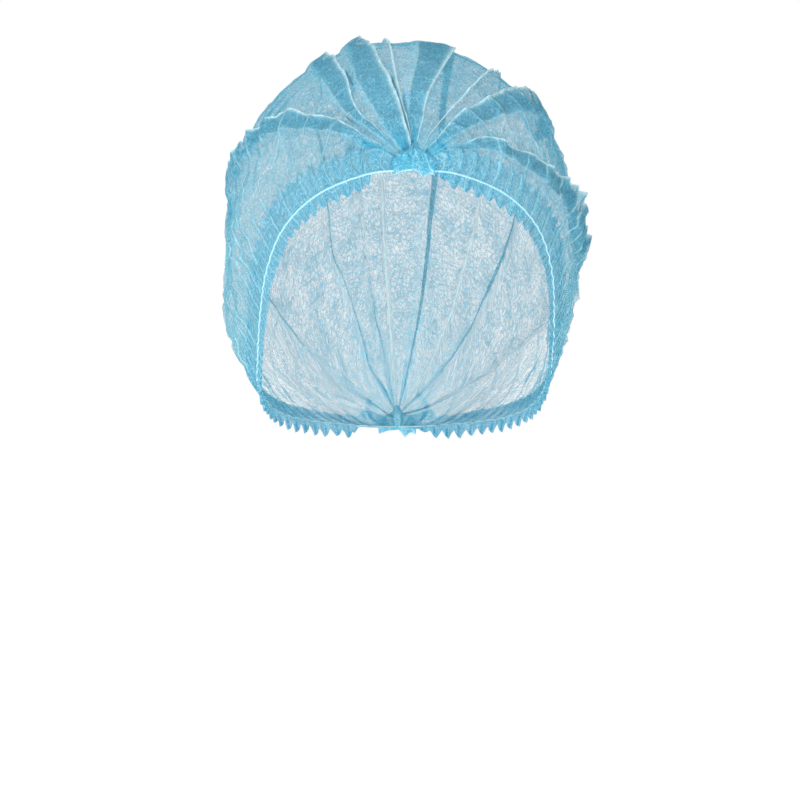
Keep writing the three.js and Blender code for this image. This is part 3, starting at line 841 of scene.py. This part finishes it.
def elastic_material():
    """Pale covered elastic, with the fine rings of its wrapping."""
    nodes = Nodes("elastic")
    flat = nodes.add("UVMap", {}, uv_map="cloth")
    place = nodes.add("VectorMath", {0: flat, 3: 1000.0}, operation="SCALE")
    rings = nodes.add("TexWave", {"Vector": place, "Scale": 0.35, "Distortion": 1.5})
    blotch = nodes.noise(place, 0.5, 2.0)
    shade = nodes.maths("MULTIPLY", blotch, rings.node.outputs["Fac"])
    colour = add_colour_mix(
        nodes, {"Factor": shade, "A": (0.50, 0.84, 0.95, 1), "B": (0.30, 0.68, 0.86, 1)}
    )
    bump = nodes.add("Bump", {"Height": rings, "Strength": 0.4, "Distance": 0.0002})
    cloth = nodes.add("BsdfPrincipled", {"Base Color": colour, "Roughness": 0.6, "Normal": bump})
    finish_material(nodes, cloth)
    return nodes.material


def make_pieces():
    cloth = cloth_material("cloth", WEB_BLUE, DEEP_BLUE, PALE_BLUE, 0.36)
    hem = cloth_material("hem", WEB_BLUE, DEEP_BLUE, PALE_BLUE, 0.26, 1.0)
    gather = cloth_material("gather", DEEP_BLUE, DEEP_BLUE, PALE_BLUE, 0.6, 0.0)
    elastic = elastic_material()
    grid, values = crown_grid()
    crown = make_mesh("crown_cloth", grid, values, cloth, ROWS_PER_CRIMP)
    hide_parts("crown")
    for name, side in (("right", -1), ("left", 1)):
        grid, values = hem_grid(side)
        piece = make_mesh("hem_cloth_" + name, grid, values, hem, HEM_ROWS_PER_CRIMP)
        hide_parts("hem_" + name)
        grid, values = elastic_grid(side)
        thread = make_mesh("elastic_thread_" + name, grid, values, elastic)
        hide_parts("elastic_" + name)
    place_gathers(gather)


def place_gathers(material):
    """Both gathers: the front one under the crown's front edge, the back one at the nape."""
    grid, values = gather_grid()
    low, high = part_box("gather_front")
    front = np.array([0.4, high.y / MM + 1.0, (low.z + high.z) / 2 / MM + 4.0])
    piece = make_mesh("gather_folds_front", grid + front, values, material)
    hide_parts("gather_front")
    low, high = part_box("gather_back")
    tilt = math.radians(-20)
    turned = grid * np.array([1, -1, 1])
    turned = np.stack(
        [
            turned[..., 0],
            turned[..., 1] * math.cos(tilt) - turned[..., 2] * math.sin(tilt),
            turned[..., 1] * math.sin(tilt) + turned[..., 2] * math.cos(tilt),
        ],
        axis=-1,
    )
    back = np.array([0.0, (low.y + high.y) / 2 / MM - 2.0, (low.z + high.z) / 2 / MM])
    piece = make_mesh("gather_folds_back", turned + back, values, material)
    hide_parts("gather_back")


def make_floor():
    """A plain pale round floor."""
    points = [(0, 0, FLOOR)]
    for step in range(FLOOR_SIDES):
        turn = 2 * math.pi * step / FLOOR_SIDES
        points.append((FLOOR_RADIUS * math.cos(turn), FLOOR_RADIUS * math.sin(turn), FLOOR))
    faces = [(0, 1 + k, 1 + (k + 1) % FLOOR_SIDES) for k in range(FLOOR_SIDES)]
    mesh = bpy.data.meshes.new("floor")
    mesh.from_pydata(points, [], faces)
    floor = bpy.data.objects.new("floor", mesh)
    bpy.context.scene.collection.objects.link(floor)
    nodes = Nodes("floor")
    paper = nodes.add(
        "BsdfPrincipled",
        {
            "Base Color": (0.9, 0.9, 0.9, 1),
            "Roughness": 0.9,
            "Emission Color": (1, 1, 1, 1),
            "Emission Strength": 1.0,
        },
    )
    finish_material(nodes, paper)
    mesh.materials.append(nodes.material)


def make_lights():
    world = bpy.data.worlds.new("studio")
    bpy.context.scene.world = world
    world.use_nodes = True
    tree = world.node_tree
    background = tree.nodes["Background"]
    background.inputs["Color"].default_value = (1, 1, 1, 1)
    path = tree.nodes.new("ShaderNodeLightPath")
    strength = tree.nodes.new("ShaderNodeMath")
    strength.operation = "MULTIPLY_ADD"
    strength.inputs[1].default_value = 1 - SURROUND
    strength.inputs[2].default_value = SURROUND
    tree.links.new(path.outputs["Is Camera Ray"], strength.inputs[0])
    tree.links.new(strength.outputs[0], background.inputs["Strength"])
    for values in LAMPS:
        lamp = dict(zip(LAMP_COLUMNS, values))
        light = bpy.data.lights.new(lamp["name"], "AREA")
        light.size = lamp["size"]
        light.energy = lamp["power"]
        piece = bpy.data.objects.new(lamp["name"], light)
        piece.location = lamp["place"]
        towards = Vector(LAMP_AIM) - Vector(lamp["place"])
        piece.rotation_euler = towards.to_track_quat("-Z", "Y").to_euler()
        piece.visible_camera = False
        bpy.context.scene.collection.objects.link(piece)


def make_camera():
    """The camera looks level at the cap from the front, a long way off, with a long lens."""
    camera = bpy.data.cameras.new("camera")
    camera.sensor_width = CAMERA_SENSOR
    camera.lens = CAMERA_LENS
    camera.clip_end = 20
    eye = bpy.data.objects.new("camera", camera)
    eye.location = CAMERA_PLACE
    eye.rotation_euler = [math.radians(turn) for turn in CAMERA_TURN]
    bpy.context.scene.collection.objects.link(eye)
    bpy.context.scene.camera = eye


def set_scene():
    scene = bpy.context.scene
    scene.view_settings.view_transform = "Standard"
    scene.cycles.transparent_max_bounces = 48


make_camera()
make_lights()
make_floor()
make_pieces()
set_scene()
